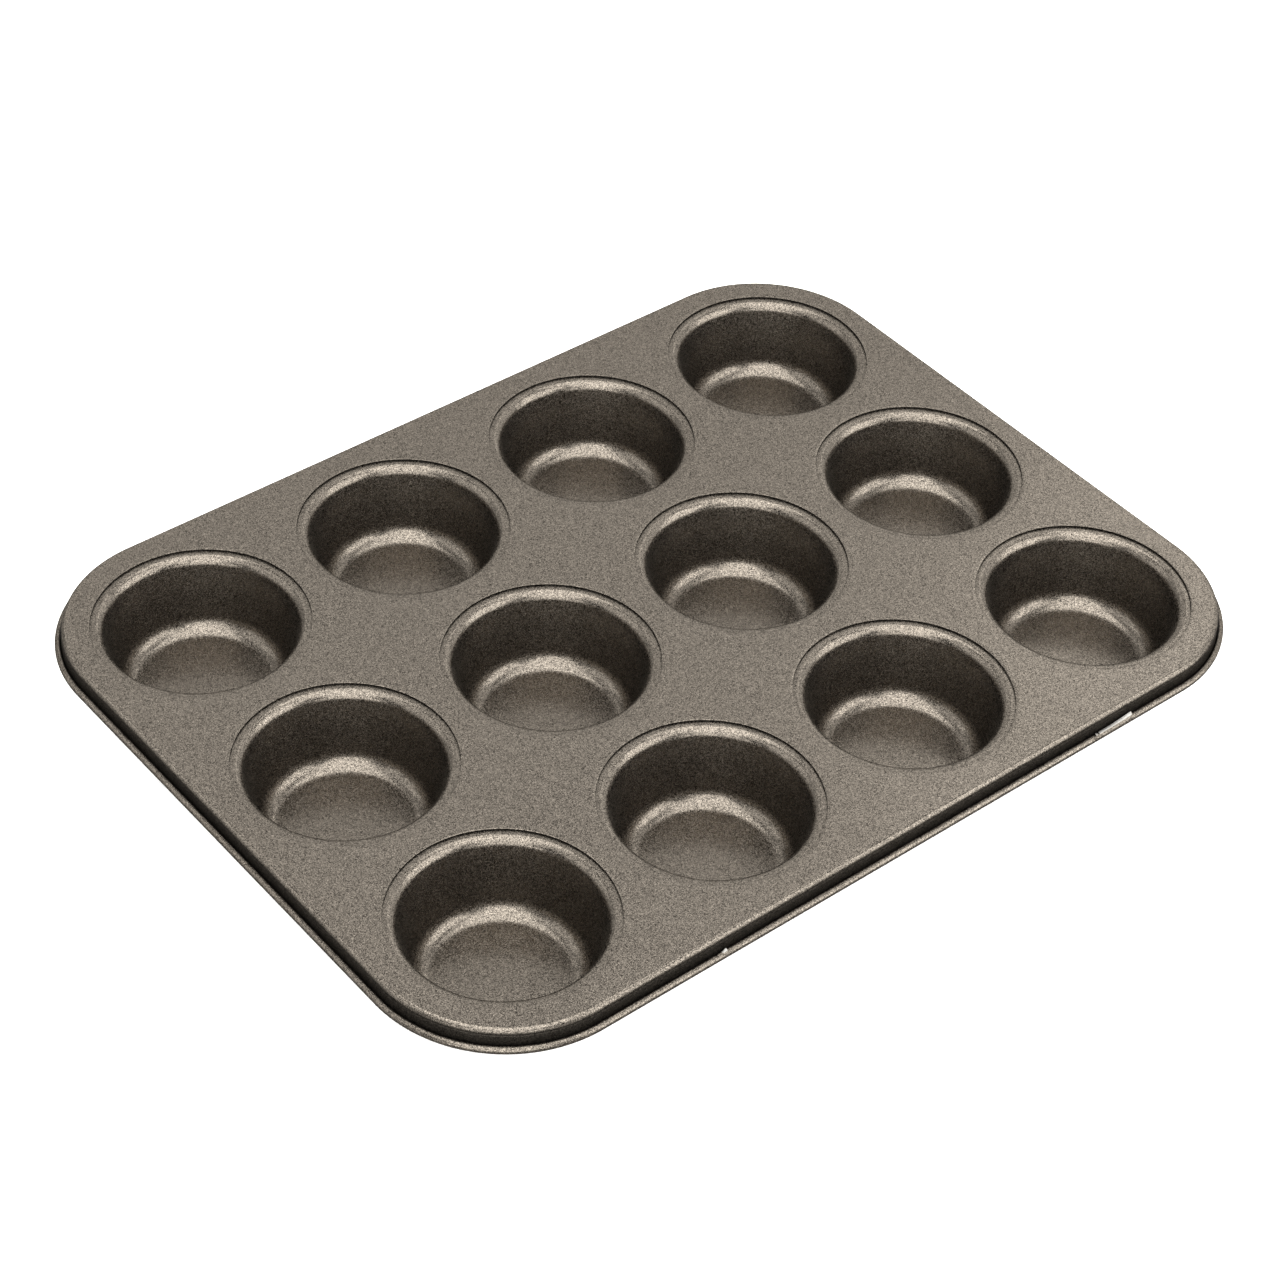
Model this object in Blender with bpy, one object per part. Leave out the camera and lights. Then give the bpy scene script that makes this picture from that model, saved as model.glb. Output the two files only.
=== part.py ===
"""Muffin tin with twelve cups, made of pressed and coated steel sheet.

Pieces: one deck with a skirt and a rolled rim, twelve drawn cups whose flanges lap under
the deck's holes, and the wire that the rim is rolled around.

Frame: metres, +Z up, X along the long side. The origin is under the middle of the tin,
on the surface that the cups stand on.
"""

from math import asin, atan2, cos, hypot, pi, radians, sin, tan

import bmesh
import bpy

MM = 0.001

# Layout
COLUMNS = 4
ROWS = 3
PITCH = 84.0 * MM

# Sheet metal
SHEET = 0.5 * MM
GAP = 0.3 * MM  # clearance between pieces that touch on the real tin

# Cups, measured on the inside face
CUP_DEPTH = 28.5 * MM  # top of the deck to the inside of the floor
CUP_FLOOR_RADIUS = 22.3 * MM  # flat part of the floor
CUP_FLOOR_FILLET = 6.8 * MM
CUP_DRAFT = radians(10.9)  # lean of the wall from vertical
CUP_LIP_WIDTH = 3.4 * MM  # the lip is a quarter of an ellipse
CUP_LIP_DROP = 3.8 * MM
FLANGE_RADIUS = 40.5 * MM

# Deck and skirt, measured on the top or outer face
HOLE_RADIUS = 37.3 * MM
CORNER_INSET_X = 0.5 * MM  # corner centres lie inside the outer cup centres along X
CORNER_OUTSET_Y = 0.6 * MM  # and outside them along Y
FLAT_REACH = 45.3 * MM  # corner centre to the end of the flat top
SKIRT_FILLET = 1.6 * MM

# Rolled rim
RIM_REACH = 49.5 * MM  # corner centre to the outside of the bead
BEAD_RADIUS = 1.35 * MM
BEAD_DROP = 7.0 * MM  # top of the deck to the middle of the bead
BEAD_WRAP = radians(282.0)  # how far the sheet is rolled round the wire

# Wire
WIRE_RADIUS = BEAD_RADIUS - SHEET - GAP
WIRE_JOINT_X = 93.0 * MM  # where its ends meet, on the long side at -Y
WIRE_JOINT_GAP = 0.6 * MM

# Facets
CUP_SEGMENTS = 32
LIP_STEPS = 3
FLOOR_STEPS = 3
CORNER_STEPS = 8
SKIRT_STEPS = 3
BEAD_STEPS = 9
WIRE_BEVEL_RESOLUTION = 2

# Worked out from the above
DECK_TOP = CUP_DEPTH + SHEET
FLANGE_TOP = DECK_TOP - SHEET - GAP
CORNER_X = PITCH * (COLUMNS - 1) / 2 - CORNER_INSET_X
CORNER_Y = PITCH * (ROWS - 1) / 2 + CORNER_OUTSET_Y
BEAD_REACH = RIM_REACH - BEAD_RADIUS
BEAD_HEIGHT = DECK_TOP - BEAD_DROP


def steps(first, last, count):
    """Evenly spaced values from first to last, both included."""
    return [first + (last - first) * i / count for i in range(count + 1)]


def clear_scene():
    for thing in list(bpy.data.objects):
        bpy.data.objects.remove(thing, do_unlink=True)


def steel(name, colour, roughness, metallic):
    material = bpy.data.materials.new(name)
    material.use_nodes = True
    shader = material.node_tree.nodes["Principled BSDF"]
    shader.inputs["Base Color"].default_value = (*colour, 1.0)
    shader.inputs["Roughness"].default_value = roughness
    shader.inputs["Metallic"].default_value = metallic
    material.diffuse_color = (*colour, 1.0)
    return material


def add_piece(name, data, material):
    data.materials.append(material)
    piece = bpy.data.objects.new(name, data)
    bpy.context.scene.collection.objects.link(piece)
    return piece


def mesh_from(bm, name):
    """A closed mesh with its faces outwards, smooth except at the sheet's cut edges."""
    bmesh.ops.recalc_face_normals(bm, faces=bm.faces)
    mesh = bpy.data.meshes.new(name)
    bm.to_mesh(mesh)
    bm.free()
    mesh.shade_smooth()
    mesh.set_sharp_from_angle(angle=radians(40.0))
    return mesh


# Sections of the sheet: points (reach, height, rise) in the order in which they are
# walked, outwards from the middle of a cup or of the deck. Rise is the angle of the way
# forward above level.


def bend(centre, width, height, rises):
    """Part of an ellipse, or of a circle if width equals height.

    It turns upwards as it goes. With negative width and height it turns downwards.
    """
    reach, level = centre
    points = []
    for rise in rises:
        scale = hypot(width * sin(rise), height * cos(rise))
        if width < 0:
            scale = -scale
        point = (reach + width**2 * sin(rise) / scale, level - height**2 * cos(rise) / scale)
        points.append((*point, rise))
    return points


def underside(face):
    """The other face of the sheet, its thickness below or outside the given one."""
    return [
        (reach + SHEET * sin(rise), height - SHEET * cos(rise), rise)
        for reach, height, rise in face
    ]


def outline(face):
    """The closed section of the sheet: along its face, and back along its underside."""
    return [(reach, height) for reach, height, _ in face + underside(face)[::-1]]


# Cups


def cup_face():
    """The inside of a cup, from the middle of its floor to the edge of its flange."""
    slope = pi / 2 - CUP_DRAFT
    fillet_centre = (CUP_FLOOR_RADIUS, SHEET + CUP_FLOOR_FILLET)
    fillet = bend(fillet_centre, CUP_FLOOR_FILLET, CUP_FLOOR_FILLET, steps(0.0, slope, FLOOR_STEPS))
    foot_radius, foot_height, _ = fillet[-1]
    lip_rises = steps(slope, 0.0, LIP_STEPS)
    lip = bend((0.0, FLANGE_TOP - CUP_LIP_DROP), -CUP_LIP_WIDTH, -CUP_LIP_DROP, lip_rises)
    wall_top_radius = foot_radius + (lip[0][1] - foot_height) * tan(CUP_DRAFT)
    shift = wall_top_radius - lip[0][0]
    lip = [(radius + shift, height, rise) for radius, height, rise in lip]
    return [(0.0, SHEET, 0.0)] + fillet + lip + [(FLANGE_RADIUS, FLANGE_TOP, 0.0)]


def cup_mesh():
    """The cup's sheet turned round its axis."""
    bm = bmesh.new()
    points = [bm.verts.new((radius, 0.0, height)) for radius, height in outline(cup_face())]
    profile = [bm.edges.new(pair) for pair in zip(points, points[1:])]
    bmesh.ops.spin(
        bm,
        geom=points + profile,
        cent=(0.0, 0.0, 0.0),
        axis=(0.0, 0.0, 1.0),
        angle=2 * pi,
        steps=CUP_SEGMENTS,
        use_merge=True,
    )
    bmesh.ops.remove_doubles(bm, verts=bm.verts, dist=0.01 * MM)
    return mesh_from(bm, "cup")


def cup_centre(column, row):
    return (
        PITCH * (column - (COLUMNS - 1) / 2),
        PITCH * (row - (ROWS - 1) / 2),
    )


def make_cups():
    mesh = cup_mesh()
    for column in range(COLUMNS):
        for row in range(ROWS):
            name = f"cup_{column + 1}_{row + 1}"
            coating = steel(f"{name}_coating", (0.155, 0.136, 0.116), 0.32, 1.0)
            cup = add_piece(name, mesh.copy(), coating)
            cup.location = (*cup_centre(column, row), 0.0)


# Deck


def corner_path(reach):
    """Points round a rectangle whose rounded corners have the given radius, from +X+Y on."""
    quarters = ((1, 1, 0.0), (-1, 1, 0.5 * pi), (-1, -1, pi), (1, -1, 1.5 * pi))
    return [
        (side_x * CORNER_X + reach * cos(turn), side_y * CORNER_Y + reach * sin(turn))
        for side_x, side_y, start in quarters
        for turn in steps(start, start + 0.5 * pi, CORNER_STEPS)
    ]


def skirt_face():
    """The top of the deck from the end of its flat to its rolled edge.

    The skirt is straight where it leaves the fillet and where it meets the roll. The face
    that is on top of the deck becomes the inside of the roll.
    """
    roll = BEAD_RADIUS - SHEET
    fillet_height = DECK_TOP - SKIRT_FILLET
    across = BEAD_REACH - FLAT_REACH
    down = fillet_height - BEAD_HEIGHT
    slope = atan2(down, across) + asin((SKIRT_FILLET + roll) / hypot(across, down))
    fillet_rises = steps(0.0, -slope, SKIRT_STEPS)
    fillet = bend((FLAT_REACH, fillet_height), -SKIRT_FILLET, -SKIRT_FILLET, fillet_rises)
    roll_rises = steps(-slope, BEAD_WRAP - slope, BEAD_STEPS)
    return fillet + bend((BEAD_REACH, BEAD_HEIGHT), roll, roll, roll_rises)


def add_loop(bm, points, height):
    """A closed loop of vertices and the edges that join them."""
    verts = [bm.verts.new((x, y, height)) for x, y in points]
    edges = [bm.edges.new(pair) for pair in zip(verts, verts[1:] + verts[:1])]
    return verts, edges


def bridge(bm, loop, other):
    """A band of quads between two loops with the same number of vertices."""
    for i in range(len(loop)):
        j = (i + 1) % len(loop)
        bm.faces.new((loop[i], loop[j], other[j], other[i]))


def hole_path(column, row):
    x, y = cup_centre(column, row)
    return [
        (x + HOLE_RADIUS * cos(turn), y + HOLE_RADIUS * sin(turn))
        for turn in steps(0.0, 2 * pi, CUP_SEGMENTS)[:-1]
    ]


def make_deck():
    """The flat top with its holes, then the skirt and the rolled rim swept round it."""
    bm = bmesh.new()
    section = outline(skirt_face())
    loops = [add_loop(bm, corner_path(reach), height) for reach, height in section]
    for (loop, _), (other, _) in zip(loops, loops[1:]):
        bridge(bm, loop, other)
    top_edges = list(loops[0][1])
    under_edges = list(loops[-1][1])
    for column in range(COLUMNS):
        for row in range(ROWS):
            path = hole_path(column, row)
            top_verts, hole_top = add_loop(bm, path, DECK_TOP)
            under_verts, hole_under = add_loop(bm, path, DECK_TOP - SHEET)
            bridge(bm, top_verts, under_verts)
            top_edges += hole_top
            under_edges += hole_under
    for edges in (top_edges, under_edges):
        bmesh.ops.triangle_fill(bm, edges=edges, use_beauty=True)
    coating = steel("deck_coating", (0.16, 0.14, 0.12), 0.32, 1.0)
    add_piece("deck", mesh_from(bm, "deck"), coating)


# Wire


def make_wire():
    """A round wire along the middle of the bead, open where its ends butt."""
    side_y = -CORNER_Y - BEAD_REACH
    before = (WIRE_JOINT_X - WIRE_JOINT_GAP / 2, side_y)
    after = (WIRE_JOINT_X + WIRE_JOINT_GAP / 2, side_y)
    corners = corner_path(BEAD_REACH)
    last_corner = 3 * (CORNER_STEPS + 1)
    path = [after] + corners[last_corner:] + corners[:last_corner] + [before]
    curve = bpy.data.curves.new("rim_wire", "CURVE")
    curve.dimensions = "3D"
    curve.bevel_depth = WIRE_RADIUS
    curve.bevel_resolution = WIRE_BEVEL_RESOLUTION
    curve.use_fill_caps = True
    spline = curve.splines.new("POLY")
    spline.points.add(len(path) - 1)
    for point, (x, y) in zip(spline.points, path):
        point.co = (x, y, BEAD_HEIGHT, 1.0)
    add_piece("rim_wire", curve, steel("wire_steel", (0.55, 0.54, 0.52), 0.35, 1.0))


clear_scene()
make_deck()
make_cups()
make_wire()
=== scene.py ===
"""Muffin tin with twelve cups, in coated steel sheet, and a pale studio to look at it in.

Everything is in metres, +Z up, X along the long side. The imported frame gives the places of
the deck, the cups and the rim wire. Each is replaced here by a finer piece in its own finish.
"""

from collections import namedtuple
from math import asin, atan2, cos, hypot, pi, radians, sin, tan

import bmesh
import bpy
from mathutils import Matrix, Vector, noise


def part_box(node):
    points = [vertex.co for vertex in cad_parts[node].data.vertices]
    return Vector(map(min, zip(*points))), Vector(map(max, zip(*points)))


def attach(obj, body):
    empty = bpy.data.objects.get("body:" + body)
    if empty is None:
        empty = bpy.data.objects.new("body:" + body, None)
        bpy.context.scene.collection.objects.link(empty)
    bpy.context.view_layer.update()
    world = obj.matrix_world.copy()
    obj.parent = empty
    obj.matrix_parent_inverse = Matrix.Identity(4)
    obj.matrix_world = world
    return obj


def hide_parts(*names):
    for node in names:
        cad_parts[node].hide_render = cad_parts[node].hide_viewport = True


bl_info = {
    "name": "Muffin Tin",
    "version": (1, 0, 0),
    "blender": (4, 5, 0),
    "location": "View3D > Sidebar > Muffin Tin",
    "description": "Builds a muffin tin in coated steel and a studio around it",
    "category": "Add Mesh",
}

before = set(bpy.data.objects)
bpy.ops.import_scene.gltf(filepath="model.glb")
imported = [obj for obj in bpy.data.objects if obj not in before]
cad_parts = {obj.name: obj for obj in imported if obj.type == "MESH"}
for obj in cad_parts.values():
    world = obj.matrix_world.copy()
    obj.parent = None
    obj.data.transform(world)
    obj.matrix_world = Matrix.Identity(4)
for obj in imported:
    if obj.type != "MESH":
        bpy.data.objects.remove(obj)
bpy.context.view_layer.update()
DECK_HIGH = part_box("deck")[1]
WIRE_LOW, WIRE_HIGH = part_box("rim_wire")
CUP_NAMES = sorted(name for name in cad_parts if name.startswith("cup_"))
CUP_LOW, CUP_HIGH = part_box(CUP_NAMES[0])

BODY = "root"
MM = 0.001
MERGE = 0.004 * MM
SHARP = radians(40.0)


def middle(low, high):
    return (low + high) / 2


CUP_CENTRES = {name: middle(*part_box(name)).to_2d() for name in CUP_NAMES}


# Sizes and colours that a user may change


def length(name, description, default):
    return bpy.props.FloatProperty(
        name=name, description=description, default=default, min=0.0, unit="LENGTH", precision=5
    )


def angle(name, description, default):
    return bpy.props.FloatProperty(
        name=name, description=description, default=radians(default), subtype="ANGLE"
    )


def colour(name, description, default):
    return bpy.props.FloatVectorProperty(
        name=name, description=description, default=default, subtype="COLOR", min=0.0, max=1.0
    )


def factor(name, description, default, top=1.0):
    return bpy.props.FloatProperty(
        name=name, description=description, default=default, min=0.0, max=top, subtype="FACTOR"
    )


def count(name, description, default):
    return bpy.props.IntProperty(name=name, description=description, default=default, min=3)


class TinDeckSettings(bpy.types.PropertyGroup):
    """The flat top, its skirt and its rolled rim."""

    sheet: length("Sheet", "Thickness of the steel sheet", 0.5 * MM)
    hole_radius: length("Hole Radius", "Radius of the holes for the cups", 37.3 * MM)
    hole_round: length("Hole Rounding", "Rounding of the holes' upper edge", 0.13 * MM)
    corner_inset: length("Corner Inset", "Corner centres inside the outer cups, along X", 0.5 * MM)
    corner_outset: length("Corner Outset", "Corner centres outside the cups, along Y", 0.6 * MM)
    flat_reach: length("Flat Reach", "From a corner centre to the end of the flat top", 45.3 * MM)
    skirt_fillet: length("Skirt Fillet", "Bend between the top and the skirt", 1.6 * MM)
    bead_radius: length("Bead Radius", "Outside radius of the rolled rim", 1.35 * MM)
    bead_wrap: angle("Bead Wrap", "How far the sheet is rolled round the wire", 282.0)
    corner_steps: count("Corner Steps", "Facets in each rounded corner", 40)


class TinCupSettings(bpy.types.PropertyGroup):
    """The drawn cups, measured on the inside face."""

    floor_radius: length("Floor Radius", "Flat part of the floor", 22.3 * MM)
    floor_fillet: length("Floor Fillet", "Bend between the floor and the wall", 6.8 * MM)
    draft: angle("Draft", "Lean of the wall from vertical", 10.9)
    lip_width: length("Lip Width", "Width of the rounded lip", 3.4 * MM)
    lip_drop: length("Lip Drop", "Height of the rounded lip", 3.8 * MM)
    segments: count("Segments", "Facets round a cup", 144)


class TinWireSettings(bpy.types.PropertyGroup):
    """The wire inside the rolled rim."""

    joint: length("Joint", "Place of its butted ends along the long side", 93.0 * MM)
    joint_gap: length("Joint Gap", "Gap between its butted ends", 0.6 * MM)
    sides: count("Sides", "Facets round the wire", 16)


class TinFinishSettings(bpy.types.PropertyGroup):
    """The baked-on coating and the steel under it."""

    coating: colour("Coating", "Colour of the coating", (0.132, 0.117, 0.100))
    coating_roughness: factor("Coating Roughness", "Roughness of the coating", 0.31)
    coating_metal: factor("Coating Metal", "How metallic the coating is", 1.0)
    edge_shine: factor("Edge Shine", "How bright the coating is when seen at a shallow angle", 0.5)
    flake_size: length("Flake Size", "Size of the metal flakes in the coating", 0.22 * MM)
    flake_contrast: factor("Flake Contrast", "How much the flakes differ", 1.6, top=3.0)
    peel_size: length("Peel Size", "Size of the ripples in the coating", 1.1 * MM)
    steel: colour("Steel", "Colour of the bare steel", (0.23, 0.226, 0.217))
    steel_roughness: factor("Steel Roughness", "Roughness of the bare steel", 0.34)


class TinStudioSettings(bpy.types.PropertyGroup):
    """Floor, lights and surroundings."""

    floor: colour("Floor", "Colour of the floor", (0.90, 0.90, 0.89))
    # painted shade: how dark the floor near the tin is painted, as seen in metal
    floor_gloss: factor("Floor in Reflections", "How bright the near floor is in metal", 0.15)
    floor_lift: factor("Shadow Lift", "How much the floor's shadows are lightened", 0.45)
    ambient: factor("Ambient", "Brightness of the surroundings", 0.04)
    top_light: factor("Top Light", "Brightness of the panel overhead", 4.0, top=20.0)
    front_light: factor("Front Light", "Brightness of the low panel in front", 3.4, top=20.0)
    right_light: factor("Right Light", "Brightness of the panel on the right", 3.9, top=20.0)
    back_light: factor("Back Light", "Brightness of the panels behind", 1.10, top=20.0)
    left_light: factor("Left Light", "Brightness of the panels on the left", 1.6, top=20.0)


# Node trees written as formulas


class Term:
    """A number inside a node tree, so that a formula in it reads as it would on paper."""

    def __init__(self, tree, socket):
        self.tree = tree
        self.socket = socket

    def feed(self, socket):
        self.tree.links.new(self.socket, socket)

    def math(self, operation, *others):
        node = self.tree.nodes.new("ShaderNodeMath")
        node.operation = operation
        for value, socket in zip((self, *others), node.inputs):
            if isinstance(value, Term):
                value.feed(socket)
            else:
                socket.default_value = value
        return Term(self.tree, node.outputs[0])

    def __add__(self, other):
        return self.math("ADD", other)

    def __sub__(self, other):
        return self.math("SUBTRACT", other)

    def __mul__(self, other):
        return self.math("MULTIPLY", other)

    def __truediv__(self, other):
        return self.math("DIVIDE", other)

    def __rsub__(self, other):
        return self * -1.0 + other

    def __gt__(self, other):
        return self.math("GREATER_THAN", other)

    __radd__ = __add__
    __rmul__ = __mul__

    def least(self, other):
        return self.math("MINIMUM", other)

    def most(self, other):
        return self.math("MAXIMUM", other)

    def clamp(self):
        return self.most(0.0).least(1.0)

    def sin(self):
        return self.math("SINE")

    def cos(self):
        return self.math("COSINE")

    def root(self):
        return self.math("SQRT")

    def tan(self):
        return self.math("TANGENT")

    def inverse(self):
        return self.math("POWER", -1.0)

    def whole(self):
        return self.math("ROUND")

    def floor(self):
        return self.math("FLOOR")

    def ramp(self, start, end):
        """0 at start, 1 at end, and smooth between them."""
        node = self.tree.nodes.new("ShaderNodeMapRange")
        node.interpolation_type = "SMOOTHSTEP"
        self.feed(node.inputs["Value"])
        for value, name in ((start, "From Min"), (end, "From Max")):
            if isinstance(value, Term):
                value.feed(node.inputs[name])
            else:
                node.inputs[name].default_value = value
        return Term(self.tree, node.outputs["Result"])


def choose(switch, when_on, when_off):
    """when_on where switch is 1, when_off where it is 0."""
    return switch * when_on + (1.0 - switch) * when_off


def new_tree(name, kind, sockets, outputs):
    """A node group and its named inputs. sockets and outputs are (name, socket type)."""
    tree = bpy.data.node_groups.new(name, kind)
    for in_out, wanted in (("INPUT", sockets), ("OUTPUT", outputs)):
        for label, socket_type in wanted:
            tree.interface.new_socket(name=label, in_out=in_out, socket_type=socket_type)
    entry = tree.nodes.new("NodeGroupInput")
    leave = tree.nodes.new("NodeGroupOutput")
    return tree, entry, leave


def geometry_tree(name, lengths, counts):
    """A Geometry Nodes tree with number inputs and a material, and its inputs as terms."""
    sockets = [(label, "NodeSocketFloat") for label in lengths]
    sockets += [(label, "NodeSocketInt") for label in counts]
    sockets.append(("Finish", "NodeSocketMaterial"))
    tree, entry, leave = new_tree(
        name, "GeometryNodeTree", sockets, [("Geometry", "NodeSocketGeometry")]
    )
    terms = {label: Term(tree, entry.outputs[label]) for label in (*lengths, *counts)}
    return tree, entry, leave, terms


def place_points(tree, geometry, x, y, z):
    """Set Position with its three coordinates given as terms."""
    combine = tree.nodes.new("ShaderNodeCombineXYZ")
    for value, socket in zip((x, y, z), combine.inputs):
        value.feed(socket)
    place = tree.nodes.new("GeometryNodeSetPosition")
    tree.links.new(geometry, place.inputs["Geometry"])
    tree.links.new(combine.outputs[0], place.inputs["Position"])
    return place.outputs["Geometry"]


def end_tree(tree, geometry, entry, leave):
    """Merge by Distance, Realize Instances and Set Material, then out."""
    merge = tree.nodes.new("GeometryNodeMergeByDistance")
    merge.inputs["Distance"].default_value = MERGE
    realize = tree.nodes.new("GeometryNodeRealizeInstances")
    finish = tree.nodes.new("GeometryNodeSetMaterial")
    tree.links.new(geometry, merge.inputs["Geometry"])
    tree.links.new(merge.outputs["Geometry"], realize.inputs["Geometry"])
    tree.links.new(realize.outputs["Geometry"], finish.inputs["Geometry"])
    tree.links.new(entry.outputs["Finish"], finish.inputs["Material"])
    tree.links.new(finish.outputs["Geometry"], leave.inputs["Geometry"])


def mesh_from_tree(name, tree, values):
    """The plain mesh that a Geometry Nodes tree gives with these inputs."""
    holder = bpy.data.objects.new(name, bpy.data.meshes.new(name))
    bpy.context.scene.collection.objects.link(holder)
    modifier = holder.modifiers.new("Tree", "NODES")
    modifier.node_group = tree
    for item in tree.interface.items_tree:
        if item.in_out == "INPUT":
            modifier[item.identifier] = values[item.name]
    depsgraph = bpy.context.evaluated_depsgraph_get()
    mesh = bpy.data.meshes.new_from_object(holder.evaluated_get(depsgraph), depsgraph=depsgraph)
    bpy.data.objects.remove(holder)
    mesh.name = name
    return mesh


# Meshes and pieces


def settle(mesh):
    """Turns the faces of a closed mesh outwards and shades it smooth up to its cut edges."""
    bm = bmesh.new()
    bm.from_mesh(mesh)
    bmesh.ops.recalc_face_normals(bm, faces=bm.faces)
    bm.to_mesh(mesh)
    bm.free()
    mesh.shade_smooth()
    mesh.set_sharp_from_angle(angle=SHARP)


def paint(mesh, name, value_at):
    """A number at each vertex for the materials to read."""
    attribute = mesh.attributes.new(name, "FLOAT", "POINT")
    attribute.data.foreach_set("value", [value_at(vertex.co) for vertex in mesh.vertices])


def add_piece(name, mesh, material, node):
    """A finished piece at the origin that stands for a node of the frame."""
    if not mesh.polygons:
        raise RuntimeError(f"{name} has no faces")
    if not mesh.materials:
        mesh.materials.append(material)
    piece = bpy.data.objects.new(name, mesh)
    bpy.context.scene.collection.objects.link(piece)
    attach(piece, BODY)
    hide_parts(node)
    return piece


# Sections of the sheet: points (reach, height, rise), rise being the angle of the way on


def steps(first, last, number):
    return [first + (last - first) * i / number for i in range(number + 1)]


def arc(centre, radius, rises):
    """Part of a circle that turns upwards, or downwards if the radius is negative."""
    reach, level = centre
    return [(reach + radius * sin(rise), level - radius * cos(rise), rise) for rise in rises]


def smooth_step(value):
    value = min(max(value, 0.0), 1.0)
    return value * value * (3.0 - 2.0 * value)


# Finishes


FLAKE_TONE, GRAIN_TONE, FLAKE_GLOSS = 1.1, 0.5, 0.3
GRAIN_SCALE = 1.5  # grains in the width of a flake
DRIFT_SCALE = 0.03  # slow changes of tone in the width of a ripple
DRIFT_TONE = 0.08
WEAR_REACH = 1.3  # at an amount of 1 the wear covers all
WEAR_START, WEAR_END = -0.02, 0.12


def build_flake_group():
    """Metal flakes in the coating: each flake has its own tone and its own gloss."""
    tree, entry, leave = new_tree(
        "Metal flakes",
        "ShaderNodeTree",
        [
            ("Vector", "NodeSocketVector"),
            ("Size", "NodeSocketFloat"),
            ("Contrast", "NodeSocketFloat"),
        ],
        [("Tone", "NodeSocketFloat"), ("Gloss", "NodeSocketFloat"), ("Height", "NodeSocketFloat")],
    )
    size = Term(tree, entry.outputs["Size"])
    contrast = Term(tree, entry.outputs["Contrast"])
    cells = tree.nodes.new("ShaderNodeTexVoronoi")
    cells.voronoi_dimensions = "3D"
    split = tree.nodes.new("ShaderNodeSeparateColor")
    grain = tree.nodes.new("ShaderNodeTexNoise")
    grain.inputs["Detail"].default_value = 0.0
    for texture, stretch in ((cells, 1.0), (grain, GRAIN_SCALE)):
        tree.links.new(entry.outputs["Vector"], texture.inputs["Vector"])
        (size.inverse() * stretch).feed(texture.inputs["Scale"])
    tree.links.new(cells.outputs["Color"], split.inputs["Color"])
    flake = Term(tree, split.outputs["Red"]) - 0.5
    shine = Term(tree, split.outputs["Green"]) - 0.5
    blend = Term(tree, grain.outputs["Fac"]) - 0.5
    (1.0 + contrast * (flake * FLAKE_TONE + blend * GRAIN_TONE)).feed(leave.inputs["Tone"])
    (shine * contrast * FLAKE_GLOSS).feed(leave.inputs["Gloss"])
    ((blend + flake) * 0.5).feed(leave.inputs["Height"])
    return tree


def build_peel_group():
    """The ripples that a sprayed coating dries with, and slow changes in its tone."""
    tree, entry, leave = new_tree(
        "Sprayed coat",
        "ShaderNodeTree",
        [("Vector", "NodeSocketVector"), ("Size", "NodeSocketFloat")],
        [("Height", "NodeSocketFloat"), ("Tone", "NodeSocketFloat")],
    )
    scale = Term(tree, entry.outputs["Size"]).inverse()
    ripple = tree.nodes.new("ShaderNodeTexNoise")
    ripple.inputs["Detail"].default_value = 1.0
    drift = tree.nodes.new("ShaderNodeTexNoise")
    drift.inputs["Detail"].default_value = 3.0
    for texture, stretch in ((ripple, 1.0), (drift, DRIFT_SCALE)):
        tree.links.new(entry.outputs["Vector"], texture.inputs["Vector"])
        (scale * stretch).feed(texture.inputs["Scale"])
    Term(tree, ripple.outputs["Fac"]).feed(leave.inputs["Height"])
    (1.0 + (Term(tree, drift.outputs["Fac"]) - 0.5) * DRIFT_TONE).feed(leave.inputs["Tone"])
    return tree


def build_wear_group():
    """Breaks a painted amount of wear into specks, as handling does."""
    tree, entry, leave = new_tree(
        "Worn edge",
        "ShaderNodeTree",
        [
            ("Vector", "NodeSocketVector"),
            ("Amount", "NodeSocketFloat"),
            ("Speck Size", "NodeSocketFloat"),
        ],
        [("Mask", "NodeSocketFloat")],
    )
    speck = tree.nodes.new("ShaderNodeTexNoise")
    speck.inputs["Detail"].default_value = 4.0
    speck.inputs["Roughness"].default_value = 0.7
    tree.links.new(entry.outputs["Vector"], speck.inputs["Vector"])
    Term(tree, entry.outputs["Speck Size"]).inverse().feed(speck.inputs["Scale"])
    amount = Term(tree, entry.outputs["Amount"])
    reach = amount * WEAR_REACH - Term(tree, speck.outputs["Fac"])
    reach.ramp(WEAR_START, WEAR_END).feed(leave.inputs["Mask"])
    return tree


def shared_group(name, build):
    return bpy.data.node_groups.get(name) or build()


def use_group(tree, group, vector, **values):
    node = tree.nodes.new("ShaderNodeGroup")
    node.node_tree = group
    tree.links.new(vector, node.inputs["Vector"])
    for name, value in values.items():
        socket = node.inputs[name.replace("_", " ").title()]
        if isinstance(value, Term):
            value.feed(socket)
        else:
            socket.default_value = value
    return {output.name: Term(tree, output) for output in node.outputs}


def attribute_term(tree, name):
    node = tree.nodes.new("ShaderNodeAttribute")
    node.attribute_name = name
    return Term(tree, node.outputs["Fac"])


def mix_colour(tree, amount, first, second):
    """A colour between two, each a socket or a plain colour."""
    node = tree.nodes.new("ShaderNodeMix")
    node.data_type = "RGBA"
    amount.feed(node.inputs["Factor"])
    for value, socket in ((first, node.inputs[6]), (second, node.inputs[7])):
        if isinstance(value, bpy.types.NodeSocket):
            tree.links.new(value, socket)
        else:
            socket.default_value = (*value, 1.0)
    return node.outputs[2]


def scale_colour(tree, colour_value, amount):
    """A plain colour made lighter or darker by a term."""
    node = tree.nodes.new("ShaderNodeVectorMath")
    node.operation = "SCALE"
    node.inputs[0].default_value = colour_value
    amount.feed(node.inputs["Scale"])
    return node.outputs[0]


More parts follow.
